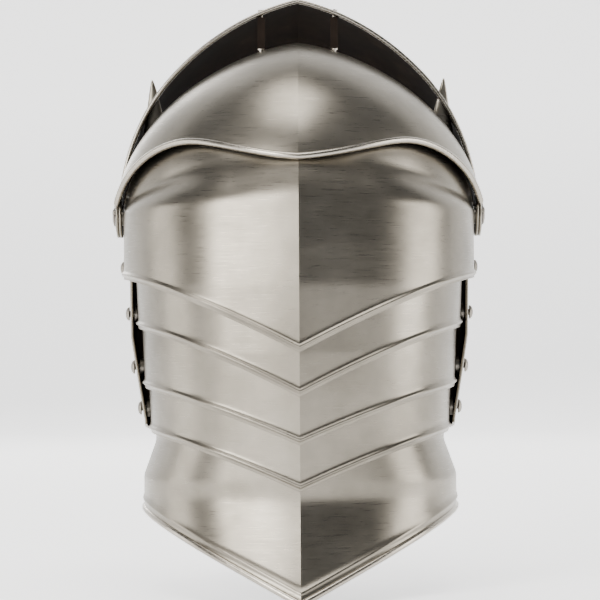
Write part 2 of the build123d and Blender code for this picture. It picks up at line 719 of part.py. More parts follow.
export_step(lame_2.part, "parts/lame_2.step")
lame_3.part.label = "lame_3"
export_step(lame_3.part, "parts/lame_3.step")
neck_plate.part.label = "neck_plate"
export_step(neck_plate.part, "parts/neck_plate.step")
lame_spacers.part.label = "lame_spacers"
export_step(lame_spacers.part, "parts/lame_spacers.step")
liner.part.label = "liner"
export_step(liner.part, "parts/liner.step")
liner_band.part.label = "liner_band"
export_step(liner_band.part, "parts/liner_band.step")
strap_left.part.label = "strap_left"
export_step(strap_left.part, "parts/strap_left.step")
strap_right.part.label = "strap_right"
export_step(strap_right.part, "parts/strap_right.step")
buckle_frame.part.label = "buckle_frame"
export_step(buckle_frame.part, "parts/buckle_frame.step")
buckle_tongue.part.label = "buckle_tongue"
export_step(buckle_tongue.part, "parts/buckle_tongue.step")
for name, rivets in zip(rivet_names, lame_rivets):
    rivets.part.label = name
    export_step(rivets.part, f"parts/{name}.step")
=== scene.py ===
# Knight's helmet with its visor raised: plates, rims, rivets, padding and straps.
# Metres in the meshes, millimetres in the numbers below; +Z is up, the face looks along -Y.

import math

import bmesh
import bpy
import numpy as np
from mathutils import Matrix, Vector


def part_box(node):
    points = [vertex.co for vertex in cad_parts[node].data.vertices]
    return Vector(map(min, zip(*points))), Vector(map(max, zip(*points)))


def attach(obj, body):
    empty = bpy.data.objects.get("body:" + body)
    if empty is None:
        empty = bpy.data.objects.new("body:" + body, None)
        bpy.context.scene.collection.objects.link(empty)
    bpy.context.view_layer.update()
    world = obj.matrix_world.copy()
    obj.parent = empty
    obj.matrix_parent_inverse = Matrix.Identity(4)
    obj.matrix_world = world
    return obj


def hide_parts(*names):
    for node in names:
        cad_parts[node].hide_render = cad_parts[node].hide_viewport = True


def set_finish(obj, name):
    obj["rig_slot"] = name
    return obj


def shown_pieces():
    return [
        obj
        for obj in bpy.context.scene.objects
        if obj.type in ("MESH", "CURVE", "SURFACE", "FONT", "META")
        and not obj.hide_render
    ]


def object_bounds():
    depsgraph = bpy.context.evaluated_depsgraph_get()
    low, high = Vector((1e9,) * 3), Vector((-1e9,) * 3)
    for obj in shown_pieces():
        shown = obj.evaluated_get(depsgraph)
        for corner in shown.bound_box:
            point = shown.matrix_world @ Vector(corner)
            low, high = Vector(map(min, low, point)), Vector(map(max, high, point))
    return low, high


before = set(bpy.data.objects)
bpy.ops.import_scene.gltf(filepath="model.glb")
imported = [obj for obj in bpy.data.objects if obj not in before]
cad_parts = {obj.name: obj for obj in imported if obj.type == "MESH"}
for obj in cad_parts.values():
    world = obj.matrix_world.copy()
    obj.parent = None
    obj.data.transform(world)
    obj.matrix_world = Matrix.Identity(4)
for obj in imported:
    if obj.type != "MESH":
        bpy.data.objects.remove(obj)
cad_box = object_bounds()

MM = 0.001
PLATE = 1.6
LEATHER = 2.0

# ---- sizes shared with the CAD plates ---------------------------------------
SKULL_HALF, DOME_RADIUS, DOME_POWER = 115.0, 103.8, 1.8
KEEL, KEEL_REACH = 6.5, 42.0
BACK_POWER = 2.3
BACK_DEPTHS = ((-245.0, 112.0), (-175.0, 112.0), (-145.0, 113.5), (-115.0, 115.5),
               (-88.0, 117.0), (-45.0, 117.5), (-20.0, 115.0), (0.0, 111.0))
SKULL_EDGE = (-87.6, -41.5)
LAME_EDGES = ((-115.0, -73.5), (-145.0, -112.0), (-174.0, -141.0))
LAME_HALF = (105.6, 101.6, 97.8)
NECK_EDGE = (-241.0, -190.0)
NECK_HALF, NECK_FLARE, NECK_SIDE_FLARE = 94.6, 24.0, 8.0
LAME_FRONT, LAME_FORE = 16.0, 80.0
OVERLAP, SIDE_OVERLAP = 24.0, 3.5
EDGE_POWER = 1.3
FACE_HALF, FACE_RADIUS, FACE_KEEL, FACE_REACH, FACE_POWER = 118.4, 130.5, 12.0, 80.0, 2.0
FACE_LOW = 52.0
BROW_HALF, BROW_RADIUS, BROW_KEEL, BROW_REACH = 121.2, 110.0, 3.5, 60.0
BROW_FRONT = 96.0
BROW_REAR = ((0.127, 150.3), (0.13, 150.0), (0.33, 138.0), (0.58, 141.0), (0.8, 147.0),
             (1.03, 162.0), (1.3, 175.0))
ARM_RADIUS = 14.0
BEVOR_LEVELS = ((-172.0, 99.0, 82.0), (-133.0, 102.4, 79.0), (-105.0, 107.0, 80.0),
                (-79.0, 111.0, 84.0), (-47.0, 111.4, 88.0), (-18.0, 111.4, 89.0))
BEVOR_KEEL, BEVOR_REACH = 7.0, 55.0
RIVET_HEAD, RIVET_RISE = 4.6, 2.6


# ---- meshes -----------------------------------------------------------------
def mesh_object(name, vertices, faces, materials):
    """A mesh object at the origin from points in millimetres and lists of corner numbers."""
    mesh = bpy.data.meshes.new(name)
    mesh.from_pydata((np.asarray(vertices) * MM).tolist(), [], faces)
    mesh.polygons.foreach_set("use_smooth", np.full(len(mesh.polygons), True))
    for material in materials:
        mesh.materials.append(material)
    piece = bpy.data.objects.new(name, mesh)
    bpy.context.scene.collection.objects.link(piece)
    return piece


def grid_faces(rows, columns, start=0, wrap=False):
    """Quads of a grid whose point (row, column) is numbered row * columns + column + start."""
    row, column = np.meshgrid(np.arange(rows - 1), np.arange(columns if wrap else columns - 1),
                              indexing="ij")
    after = (column + 1) % columns
    quads = np.stack([row * columns + column, row * columns + after,
                      (row + 1) * columns + after, (row + 1) * columns + column], axis=-1)
    return (quads.reshape(-1, 4) + start).tolist()


def ring_faces(rows, columns):
    """Quads of a grid that wraps round, with one face over its first and its last ring."""
    ends = [list(range(columns)), list(range((rows - 1) * columns, rows * columns))]
    return grid_faces(rows, columns, wrap=True) + ends


def close_outwards(piece, merge=None):
    """Turns a closed mesh's faces outwards, after merging points that coincide if asked to."""
    work = bmesh.new()
    work.from_mesh(piece.data)
    if merge:
        bmesh.ops.remove_doubles(work, verts=work.verts, dist=merge * MM)
    bmesh.ops.recalc_face_normals(work, faces=work.faces)
    work.to_mesh(piece.data)
    work.free()


def weld(piece, centre, merge=0.02):
    """Merges points that coincide and turns an open sheet's faces away from the centre."""
    work = bmesh.new()
    work.from_mesh(piece.data)
    bmesh.ops.remove_doubles(work, verts=work.verts, dist=merge * MM)
    bmesh.ops.recalc_face_normals(work, faces=work.faces)
    middle = Vector(centre) * MM
    lean = sum(face.normal.dot(face.calc_center_median() - middle) * face.calc_area()
               for face in work.faces)
    if lean < 0.0:
        bmesh.ops.reverse_faces(work, faces=work.faces)
    work.to_mesh(piece.data)
    work.free()


def crease_middle(piece):
    """Marks the edges on the keel line, where x is 0, as sharp."""
    mesh = piece.data
    points = np.empty(len(mesh.vertices) * 3)
    mesh.vertices.foreach_get("co", points)
    ends = np.empty(len(mesh.edges) * 2, dtype=np.int32)
    mesh.edges.foreach_get("vertices", ends)
    middle = np.abs(points.reshape(-1, 3)[:, 0]) < 1e-7
    sharp = mesh.attributes.get("sharp_edge") or mesh.attributes.new("sharp_edge", "BOOLEAN", "EDGE")
    sharp.data.foreach_set("value", middle[ends.reshape(-1, 2)].all(axis=1))


def plate_piece(name, grids, body, centre, nodes, thickness=PLATE, crease=True, materials=None):
    """A steel plate: open grids welded into one sheet, then given its wall inwards."""
    vertices = np.concatenate([grid.reshape(-1, 3) for grid in grids])
    faces = []
    start = 0
    for grid in grids:
        faces += grid_faces(grid.shape[0], grid.shape[1], start)
        start += grid.shape[0] * grid.shape[1]
    piece = mesh_object(name, vertices, faces, materials or (STEEL, INNER_STEEL_PAINTED_SHADE))
    weld(piece, centre)
    if crease:
        crease_middle(piece)
    wall = piece.modifiers.new("wall", "SOLIDIFY")
    wall.thickness = thickness * MM
    wall.offset = -1.0
    wall.use_even_offset = False
    if materials is None:
        # the inner wall takes the near-black inner steel, whose dark colour is painted shade
        wall.material_offset = 1
    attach(piece, body)
    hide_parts(*nodes)
    return piece


def unit(vectors):
    """Vectors scaled to length 1."""
    return vectors / np.maximum(np.linalg.norm(vectors, axis=-1, keepdims=True), 1e-9)


def raised(grid, lift, centre):
    """A grid moved along its own surface normals, away from the centre, by lift."""
    normal = unit(np.cross(np.gradient(grid, axis=1), np.gradient(grid, axis=0)))
    away = np.sum(normal * (grid - np.asarray(centre)), axis=-1, keepdims=True)
    return grid + normal * np.where(away < 0, -1.0, 1.0) * lift[..., None]


def tube(name, path, radius, body, centre, sides=14, material=None):
    """A round bar: a circle of the radius carried along the path, with domed ends."""
    along = unit(np.gradient(path, axis=0))
    outward = path - np.asarray(centre)
    across = unit(np.cross(along, outward))
    up = np.cross(across, along)
    turn = np.linspace(0.0, 2 * np.pi, sides, endpoint=False)
    ring = (across[:, None, :] * np.cos(turn)[None, :, None]
            + up[:, None, :] * np.sin(turn)[None, :, None])
    size = np.broadcast_to(np.asarray(radius, dtype=float), (len(path),))
    body_rings = path[:, None, :] + ring * size[:, None, None]
    caps = []
    for end, sign in ((0, -1.0), (-1, 1.0)):
        for share in (0.9, 0.5):
            reach = math.sqrt(1.0 - share * share)
            caps.append(path[end] + sign * along[end] * size[end] * reach
                        + ring[end] * size[end] * share)
    rings = np.concatenate([caps[1][None], caps[0][None], body_rings, caps[2][None], caps[3][None]])
    faces = ring_faces(len(rings), sides)
    piece = mesh_object(name, rings.reshape(-1, 3), faces, (material or STEEL,))
    close_outwards(piece)
    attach(piece, body)


# ---- sections ---------------------------------------------------------------
def arch(turn, half_width, depth, keel, reach, power):
    """Rounded section: across = half_width sin(turn)^(2/power), deep = depth cos(turn)^(2/power)
    plus a keel that falls off from the middle as (1 - across/reach)^1.5."""
    across = half_width * np.abs(np.sin(turn)) ** (2.0 / power)
    deep = depth * np.abs(np.cos(turn)) ** (2.0 / power)
    deep = deep + keel * np.clip(1.0 - across / reach, 0.0, None) ** 1.5
    return np.sign(np.sin(turn)) * across + 0.0 * deep, deep


def around(turn, half_width, depth, fore):
    """Level section of a neck plate: the keeled back, then the plain front beyond the sides."""
    x, y = arch(turn, half_width, depth, KEEL, KEEL_REACH, BACK_POWER)
    front = np.abs(turn) > np.pi / 2
    x_front = half_width * np.sin(turn)
    y_front = -fore * np.abs(np.cos(turn))
    return np.where(front, x_front, x), np.where(front, y_front, y)


def v_edge(x, edge, half_width, power=EDGE_POWER):
    """Height of a V-shaped edge: side + (middle - side) (1 - |x|/half_width)^power."""
    share = np.clip(np.abs(x) / half_width, 0.0, 1.0)
    return edge[1] + (edge[0] - edge[1]) * (1.0 - share) ** power


def back_depth(z):
    """Outside depth of the skull behind, beside its keel, at a height."""
    heights, depths = zip(*BACK_DEPTHS)
    return np.interp(z, heights, depths)


def rib(distance, place, width, height):
    """A raised bead in the sheet: height exp(-((distance - place) / width)^2)."""
    return height * np.exp(-((distance - place) / width) ** 2)


def side_turns(limit, count):
    """Section angles from one end to the other, closer together beside the keel."""
    half = np.linspace(0.0, 1.0, count)
    half = limit * (0.55 * half + 0.45 * half ** 2)
    return np.concatenate([-half[::-1], half[1:]])


BEAD_ROWS = np.array([0.0, 0.5, 1.0, 1.5, 2.0, 2.5, 3.0, 3.5, 4.0, 4.5, 5.0, 5.5, 6.0, 7.0, 8.5])
BEAD_PLACE, BEAD_WIDTH, BEAD_HEIGHT = 3.5, 1.45, 1.6


# ---- finishes ---------------------------------------------------------------
def shader(name):
    """A new node material, with its tree, its Principled shader and its Object coordinates."""
    material = bpy.data.materials.new(name)
    material.use_nodes = True
    tree = material.node_tree
    surface = tree.nodes["Principled BSDF"]
    place = tree.nodes.new("ShaderNodeTexCoord").outputs["Object"]
    return material, tree, surface, place


def stretched_noise(tree, place, scale, detail, stretch=(1.0, 1.0, 1.0), roughness=0.6):
    """Noise on Object coordinates, drawn out along an axis by its stretch."""
    mapping = tree.nodes.new("ShaderNodeMapping")
    mapping.inputs["Scale"].default_value = stretch
    tree.links.new(place, mapping.inputs["Vector"])
    noise = tree.nodes.new("ShaderNodeTexNoise")
    noise.inputs["Scale"].default_value = scale
    noise.inputs["Detail"].default_value = detail
    noise.inputs["Roughness"].default_value = roughness
    tree.links.new(mapping.outputs["Vector"], noise.inputs["Vector"])
    return noise.outputs["Fac"]


def ramp(tree, value, stops):
    """A colour ramp through (position, colour) stops."""
    node = tree.nodes.new("ShaderNodeValToRGB")
    elements = node.color_ramp.elements
    while len(elements) < len(stops):
        elements.new(0.5)
    for element, (position, colour) in zip(elements, stops):
        element.position = position
        element.color = (*colour, 1.0)
    tree.links.new(value, node.inputs["Fac"])
    return node.outputs["Color"]


def spread(tree, value, low, high, floor=0.0, top=1.0):
    """A value mapped from floor..top to low..high."""
    node = tree.nodes.new("ShaderNodeMapRange")
    node.inputs["From Min"].default_value = floor
    node.inputs["From Max"].default_value = top
    node.inputs["To Min"].default_value = low
    node.inputs["To Max"].default_value = high
    tree.links.new(value, node.inputs["Value"])
    return node.outputs["Result"]


def bumped(tree, surface, layers):
    """Bump from (height, distance, strength) layers, one on top of the other."""
    normal = None
    for height, distance, strength in layers:
        bump = tree.nodes.new("ShaderNodeBump")
        bump.inputs["Distance"].default_value = distance
        bump.inputs["Strength"].default_value = strength
        tree.links.new(height, bump.inputs["Height"])
        if normal is not None:
            tree.links.new(normal, bump.inputs["Normal"])
        normal = bump.outputs["Normal"]
    tree.links.new(normal, surface.inputs["Normal"])


def steel_finish(name, dark, mid, light, rough_low, rough_high):
    """Satin steel: cloudy warm tone, fine level brushing, a few longer scratches."""
    material, tree, surface, place = shader(name)
    surface.inputs["Metallic"].default_value = 1.0
    cloud = stretched_noise(tree, place, 16.0, 4.0)
    tone = ramp(tree, cloud, ((0.25, dark), (0.5, mid), (0.8, light)))
    tree.links.new(tone, surface.inputs["Base Color"])
    brush = stretched_noise(tree, place, 30.0, 6.0, (2.0, 2.0, 60.0), 0.7)
    scratch = stretched_noise(tree, place, 55.0, 3.0, (1.0, 6.0, 14.0), 0.55)
    tree.links.new(spread(tree, brush, rough_low, rough_high, 0.3, 0.7), surface.inputs["Roughness"])
    bumped(tree, surface, ((cloud, 0.0012, 0.10), (brush, 0.00004, 0.35),
                           (spread(tree, scratch, 0.0, 1.0, 0.62, 0.72), 0.00005, 0.25)))
    return material


STEEL = steel_finish("brushed_plate_steel", (0.165, 0.150, 0.122), (0.235, 0.214, 0.176),
                     (0.31, 0.285, 0.240), 0.25, 0.37)
# Lighter copy of the plate steel for rolled rims, bridge rivets and the lifting peg: its lighter
# colour is a painted highlight.
RIM_STEEL_PAINTED_HIGHLIGHT = steel_finish("rim_steel_painted_highlight", (0.27, 0.245, 0.205), (0.35, 0.32, 0.272),
                         (0.44, 0.41, 0.355), 0.20, 0.32)
RIVET_STEEL = steel_finish("rivet_head_steel", (0.17, 0.155, 0.13), (0.25, 0.23, 0.20),
                           (0.34, 0.32, 0.285), 0.30, 0.45)


def painted_shade_inner_finish():
    """The plates' inside: near-black colour painted as the shade inside the plates, matt and cloudy,
    with rubbed brown patches.
    """
    material, tree, surface, place = shader("inner_steel_painted_shade")
    surface.inputs["Metallic"].default_value = 0.0
    surface.inputs["Specular IOR Level"].default_value = 0.04
    cloud = stretched_noise(tree, place, 28.0, 5.0)
    tone = ramp(tree, cloud, ((0.3, (0.007, 0.005, 0.004)), (0.6, (0.017, 0.012, 0.009)),
                              (0.85, (0.040, 0.029, 0.021))))
    tree.links.new(tone, surface.inputs["Base Color"])
    tree.links.new(spread(tree, cloud, 0.82, 0.95, 0.3, 0.7), surface.inputs["Roughness"])
    bumped(tree, surface, ((cloud, 0.0010, 0.15),
                           (stretched_noise(tree, place, 400.0, 3.0), 0.0001, 0.3)))
    return material


def leather_finish():
    """Dark brown strap leather: pebbled grain, worn lighter patches."""
    material, tree, surface, place = shader("strap_leather_brown")
    surface.inputs["Specular IOR Level"].default_value = 0.35
    cloud = stretched_noise(tree, place, 40.0, 5.0)
    tone = ramp(tree, cloud, ((0.3, (0.035, 0.018, 0.010)), (0.55, (0.075, 0.038, 0.020)),
                              (0.8, (0.13, 0.070, 0.038))))
    tree.links.new(tone, surface.inputs["Base Color"])
    grain = tree.nodes.new("ShaderNodeTexVoronoi")
    grain.inputs["Scale"].default_value = 900.0
    tree.links.new(place, grain.inputs["Vector"])
    tree.links.new(spread(tree, cloud, 0.5, 0.75, 0.3, 0.7), surface.inputs["Roughness"])
    bumped(tree, surface, ((grain.outputs["Distance"], 0.0002, 0.4),))
    return material


def linen_finish():
    """Undyed linen: crossed threads, soiled in soft patches."""
    material, tree, surface, place = shader("undyed_quilted_linen")
    surface.inputs["Sheen Weight"].default_value = 0.25
    surface.inputs["Specular IOR Level"].default_value = 0.2
    cloud = stretched_noise(tree, place, 22.0, 5.0)
    tone = ramp(tree, cloud, ((0.3, (0.20, 0.155, 0.10)), (0.6, (0.31, 0.25, 0.17)),
                              (0.8, (0.40, 0.33, 0.235))))
    tree.links.new(tone, surface.inputs["Base Color"])
    threads = []
    for stretch in ((1400.0, 60.0, 60.0), (60.0, 60.0, 1400.0)):
        threads.append(stretched_noise(tree, place, 1.0, 2.0, stretch))
    tree.links.new(spread(tree, threads[0], 0.8, 0.95), surface.inputs["Roughness"])
    bumped(tree, surface, ((threads[0], 0.0003, 0.5), (threads[1], 0.0003, 0.5)))
    return material


def brass_finish():
    """Dulled brass, darker and lighter in cloudy patches."""
    material, tree, surface, place = shader("dulled_buckle_brass")
    surface.inputs["Metallic"].default_value = 1.0
    cloud = stretched_noise(tree, place, 120.0, 5.0)
    tone = ramp(tree, cloud, ((0.3, (0.30, 0.20, 0.08)), (0.6, (0.55, 0.40, 0.18)),
                              (0.85, (0.68, 0.52, 0.27))))
    tree.links.new(tone, surface.inputs["Base Color"])
    tree.links.new(spread(tree, cloud, 0.28, 0.5, 0.3, 0.7), surface.inputs["Roughness"])
    bumped(tree, surface, ((cloud, 0.0002, 0.3),))
    return material


# Near-black steel for the plates' insides and the sight bridges: its dark colour is painted shade.
INNER_STEEL_PAINTED_SHADE = painted_shade_inner_finish()
BROWN_LEATHER = leather_finish()
LINEN = linen_finish()
BRASS = brass_finish()


# ---- skull ------------------------------------------------------------------
CENTRE = (0.0, 0.0, 0.0)
BROW_ANGLE, BROW_START = 24.0, 64.4
BLEND_START = 160.0
TEMPLE_REACH = 36.0
TEMPLE_LINE = ((-18.0, 9.0), (-14.0, 14.0), (0.0, TEMPLE_REACH))


def blend_share(angle):
    """Smooth step from 0 at the blend's start to 1 straight behind."""
    share = np.clip((angle - BLEND_START) / (180.0 - BLEND_START), 0.0, 1.0)
    return share * share * (3.0 - 2.0 * share)


def skull_piece():
    """Dome turned about X over the top, then level sections down to the V edge with its bead."""
    split = math.acos((TEMPLE_REACH / DOME_RADIUS) ** (DOME_POWER / 2))
    near = side_turns(split, 40)
    outer = np.linspace(split, np.pi / 2, 14)[1:]
    turn = np.concatenate([-outer[::-1], near, outer])
    radius = arch(turn, SKULL_HALF, DOME_RADIUS, KEEL, KEEL_REACH, DOME_POWER)[1]
    radius[0] = radius[-1] = 0.0
    start = np.interp(radius, [TEMPLE_REACH, BROW_START], [0.0, BROW_ANGLE])
    share = np.linspace(0.0, 1.0, 72)[:, None]
    angle = start + (180.0 - start) * share
    mix = blend_share(angle)
    power = DOME_POWER + (BACK_POWER - DOME_POWER) * mix
    depth = DOME_RADIUS + (back_depth(0.0) - DOME_RADIUS) * mix
    x, deep = arch(turn[None, :], SKULL_HALF, depth, KEEL, KEEL_REACH, power)
    deep[:, 0] = deep[:, -1] = 0.0
    bend = np.radians(angle)
    top = np.stack([x, -deep * np.cos(bend), deep * np.sin(bend)], axis=-1)

    down = np.linspace(0.0, 1.0, 26)[:, None]
    beads = BEAD_ROWS[::-1][:, None]
    x_level = arch(turn, SKULL_HALF, DOME_RADIUS, KEEL, KEEL_REACH, BACK_POWER)[0]
    low = v_edge(x_level, SKULL_EDGE, SKULL_HALF)[None, :]
    z = np.concatenate([(low + BEAD_ROWS[-1]) * down, low + beads[1:]])
    x, y = arch(turn[None, :], SKULL_HALF, back_depth(z), KEEL, KEEL_REACH, BACK_POWER)
    y[:, 0] = y[:, -1] = 0.0
    back = raised(np.stack([x, y, z], axis=-1),
                  rib(z - low, BEAD_PLACE, BEAD_WIDTH, BEAD_HEIGHT), (0.0, 0.0, -40.0))

    fronts = []
    for side in (1, -1):
        column = radius[-len(outer) - 1:] / TEMPLE_REACH
        z_side = np.concatenate([(SKULL_EDGE[1] + BEAD_ROWS[-1]) * down, SKULL_EDGE[1] + beads[1:]])
        fore = np.interp(z_side, *zip(*TEMPLE_LINE))
        y = fore * column[None, :]
        x = SKULL_HALF * (1.0 - (y / DOME_RADIUS) ** DOME_POWER) ** (1.0 / DOME_POWER)
        x = x + rib(z_side - SKULL_EDGE[1], BEAD_PLACE, BEAD_WIDTH, BEAD_HEIGHT)
        fronts.append(np.stack([side * x, -y, z_side + 0 * y], axis=-1))
    plate_piece("skull_plate", [top, back] + fronts, "helmet", (0.0, 0.0, -20.0), ["skull"])


skull_piece()


# ---- visor ------------------------------------------------------------------
def polyline_angle(points, radius):
    """Angle above straight ahead at which a side-view line crosses each radius."""
    y, z = points
    return np.interp(radius, np.hypot(y, z), np.degrees(np.arctan2(z, -y)))


def polar(radius, angle):
    """Side-view point at an angle above straight ahead."""
    return -radius * np.cos(np.radians(angle)), radius * np.sin(np.radians(angle))


def dome_x(half_width, radius, away, power):
    """Where a dome's surface lies at a distance from the pivot axis."""
    return half_width * (1.0 - np.clip(away / radius, 0.0, 1.0) ** power) ** (1.0 / power)


def visor_grids(half_width, radius, keel, reach, power, low_angle, high_angle):
    """A visor plate: the part of a dome between two side-view edges, whose angles depend on the
    distance from the pivot axis, with a round end on each arm."""
    inner = math.acos((ARM_RADIUS / radius) ** (power / 2))
    turn = side_turns(inner, 70)
    across, away = arch(turn, half_width, radius, keel, reach, power)
    low, high = low_angle(away), high_angle(away)
    angle = low + (high - low) * VISOR_ROWS[:, None]
    x = np.broadcast_to(across, angle.shape)
    y, z = polar(away[None, :], angle)
    grids = [np.stack([x, y, z], axis=-1)]
    for side, column in ((1, -1), (-1, 0)):
        first, last = angle[0, column], angle[-1, column]
        round_angles = np.concatenate([angle[:, column], np.linspace(last, first + 360.0, 48)[1:]])
        reach_rows = np.linspace(away[column], 0.0, 7)[:, None]
        y, z = polar(reach_rows, round_angles[None, :])
        x = side * dome_x(half_width, radius, reach_rows, power) + 0 * y
        grids.append(np.stack([x, y, z], axis=-1))
    return grids


SMOOTHINGS = 260
ARM_ANGLE = 30.0
ARM_POINT = polar(ARM_RADIUS, ARM_ANGLE)
FACE_TIP = polar(FACE_RADIUS + FACE_KEEL, FACE_LOW)
FACE_LINE = (np.linspace(ARM_POINT[0], 1.2 * FACE_TIP[0] - 0.2 * ARM_POINT[0], 80),
             np.linspace(ARM_POINT[1], 1.2 * FACE_TIP[1] - 0.2 * ARM_POINT[1], 80))
rear_points = [polar(share * BROW_RADIUS, angle) for share, angle in BROW_REAR]
stations = np.linspace(0, len(rear_points) - 1, 200)
BROW_LINE = np.array([np.interp(stations, range(len(rear_points)), coordinate)
                      for coordinate in zip(*rear_points)])
for _ in range(SMOOTHINGS):
    BROW_LINE[:, 1:-1] = (0.25 * BROW_LINE[:, :-2] + 0.5 * BROW_LINE[:, 1:-1]
                          + 0.25 * BROW_LINE[:, 2:])
VISOR_ROWS = np.sort(np.concatenate([np.linspace(0.0, 1.0, 34),
                                     [0.01, 0.02, 0.04, 0.96, 0.98, 0.99]]))


def face_low_angle(away):
    """Lower edge of the face plate."""
    return polyline_angle(FACE_LINE, away)


def brow_rear_angle(away):
    """Rear edge of the brow plate."""
    return polyline_angle(BROW_LINE, away)


def face_top_angle(away):
    """Upper edge of the face plate: upright, straight above the pivots."""
    return np.full_like(away, 90.0)


def brow_front_angle(away):
    """Front edge of the brow plate."""
    return np.full_like(away, BROW_FRONT)


FACE_DOME = (FACE_HALF, FACE_RADIUS, FACE_KEEL, FACE_REACH, FACE_POWER)
BROW_DOME = (BROW_HALF, BROW_RADIUS, BROW_KEEL, BROW_REACH, DOME_POWER)
VISOR_MIDDLE = (0.0, 0.0, 20.0)
plate_piece("face_plate_sheet", visor_grids(*FACE_DOME, face_low_angle, face_top_angle),
            "visor", VISOR_MIDDLE, ["face_plate"])
plate_piece("brow_plate_sheet", visor_grids(*BROW_DOME, brow_front_angle, brow_rear_angle),
            "visor", VISOR_MIDDLE, ["brow_plate"])


def edge_path(half_width, radius, keel, reach, power, angle_at, inset, count=110):
    """Points along a visor edge, a little inside the sheet."""
    inner = math.acos((1.15 * ARM_RADIUS / radius) ** (power / 2))
    turn = side_turns(inner, count)
    x, away = arch(turn, half_width, radius, keel, reach, power)
    shrink = 1.0 - inset / np.hypot(x, away)
    y, z = polar(away * shrink, angle_at(away))
    return np.stack([x * shrink, y, z], axis=-1)


BROW_ROLL, FACE_ROLL = 2.1, 1.5
# The rolled rims take the lighter rim steel, whose lighter colour is a painted highlight.
tube("brow_rear_rim", edge_path(*BROW_DOME, brow_rear_angle, 0.1), BROW_ROLL, "visor", CENTRE,
     material=RIM_STEEL_PAINTED_HIGHLIGHT)
tube("face_plate_rim", edge_path(*FACE_DOME, face_top_angle, 0.8), FACE_ROLL, "visor", CENTRE,
     material=RIM_STEEL_PAINTED_HIGHLIGHT)
tube("face_plate_lower_rim", edge_path(*FACE_DOME, face_low_angle, 0.8), FACE_ROLL, "visor", CENTRE)


CUSP_FOOT = (95.2, -11.0, 55.0)
CUSP_HEIGHT, CUSP_LEAN = 36.2, 1.6
CUSP_WIDE, CUSP_THICK, CUSP_TIP = 7.2, 2.1, 0.4
CUSP_ROWS, CUSP_SIDES = 16, 20


def cusp(name, side):
    """A pointed horn: oval sections that narrow and lean outwards from its foot to its tip."""
    share = np.linspace(0.0, 1.0, CUSP_ROWS)[:, None]
    turn = np.linspace(0.0, 2 * np.pi, CUSP_SIDES, endpoint=False)[None, :]
    wide = CUSP_WIDE * (1.0 - share) ** 0.8 + CUSP_TIP
    thick = CUSP_THICK * (1.0 - 0.7 * share)
    x = side * (CUSP_FOOT[0] + CUSP_LEAN * share ** 2 + wide * np.cos(turn))
    y = CUSP_FOOT[1] + thick * np.sin(turn)
    z = CUSP_FOOT[2] + CUSP_HEIGHT * share + 0 * turn
    grid = np.stack([x, y, z], axis=-1)
    piece = mesh_object(name, grid.reshape(-1, 3), ring_faces(CUSP_ROWS, CUSP_SIDES), (STEEL,))
    weld(piece, (side * CUSP_FOOT[0], CUSP_FOOT[1], CUSP_FOOT[2] + 0.5 * CUSP_HEIGHT))
    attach(piece, "visor")


cusp("cusp_left", 1)
cusp("cusp_right", -1)


# ---- neck plates ------------------------------------------------------------
LAME_END = np.pi / 2 + math.asin(LAME_FRONT / LAME_FORE)
LAME_TAPER, LAME_STEP = 0.04, 3.4
FLARE_START, FLARE_LENGTH, FLARE_POWER = 6.0, 22.0, 1.3
NECK_BEAD_PLACE, NECK_BEAD_HEIGHT = 6.2, 0.9
NECK_ROLL, NECK_ROLL_INSET = 2.2, 0.7


def neck_grid(half_at, depth_at, upper, lower, upper_half, lower_half, power=EDGE_POWER,
              place=BEAD_PLACE, height=BEAD_HEIGHT):
    """A plate that wraps the nape: level sections from its V-shaped lower edge, past the raised
    bead, up to its hidden edge."""
    turn = side_turns(LAME_END, 62)[None, :]
    x = around(turn, half_at(lower[1]), depth_at(lower[1]), LAME_FORE)[0]
    low = v_edge(x, lower, lower_half, power)
    high = v_edge(x, upper, upper_half)
    climb = np.linspace(0.0, 1.0, 30)[1:, None]
    z = np.concatenate([low + BEAD_ROWS[:, None],
                        low + BEAD_ROWS[-1] + (high - low - BEAD_ROWS[-1]) * climb])
    x, y = around(turn, half_at(z), depth_at(z), LAME_FORE)
    middle = (0.0, 0.0, 0.5 * (upper[0] + lower[0]))
    return raised(np.stack([x, y, z], axis=-1), rib(z - low, place, BEAD_WIDTH, height), middle)


def lame_half(index):
    """Half-width of a lame as a function of height."""
    return lambda z: LAME_HALF[index] + LAME_TAPER * (z - LAME_EDGES[index][1])


def lame_depth(index):
    """Depth of a neck plate behind as a function of height."""
    return lambda z: back_depth(z) - (index + 1) * LAME_STEP


def neck_half(z):
    """Half-width of the flared neck plate."""
    below = LAME_EDGES[2][1] - FLARE_START - z
    return NECK_HALF + NECK_SIDE_FLARE * np.clip(below / FLARE_LENGTH, 0.0, 1.0)


def neck_depth(z):
    """Depth of the flared neck plate."""
    top = LAME_EDGES[2][0] - FLARE_START
    turn_out = np.clip((top - z) / (top - NECK_EDGE[0]), 0.0, None)
    return lame_depth(3)(z) + NECK_FLARE * turn_out ** FLARE_POWER


for index, lower in enumerate(LAME_EDGES):
    above = (SKULL_EDGE, *LAME_EDGES)[index]
    above_half = (SKULL_HALF, *LAME_HALF)[index]
    upper = (above[0] + OVERLAP, above[1] + SIDE_OVERLAP)
    grid = neck_grid(lame_half(index), lame_depth(index), upper, lower, above_half, LAME_HALF[index])
    lame = f"lame_{index + 1}"
    plate_piece(lame + "_sheet", [grid], lame, (0.0, 0.0, lower[1]), [lame])

neck_lower_half = NECK_HALF + NECK_SIDE_FLARE
plate_piece(
    "neck_plate_sheet",
    [neck_grid(neck_half, neck_depth, (LAME_EDGES[2][0] + OVERLAP, LAME_EDGES[2][1] + OVERLAP),
               NECK_EDGE, LAME_HALF[2], neck_lower_half, power=1.0, place=NECK_BEAD_PLACE,
               height=NECK_BEAD_HEIGHT)],
    "neck_plate", (0.0, 0.0, -190.0), ["neck_plate"])


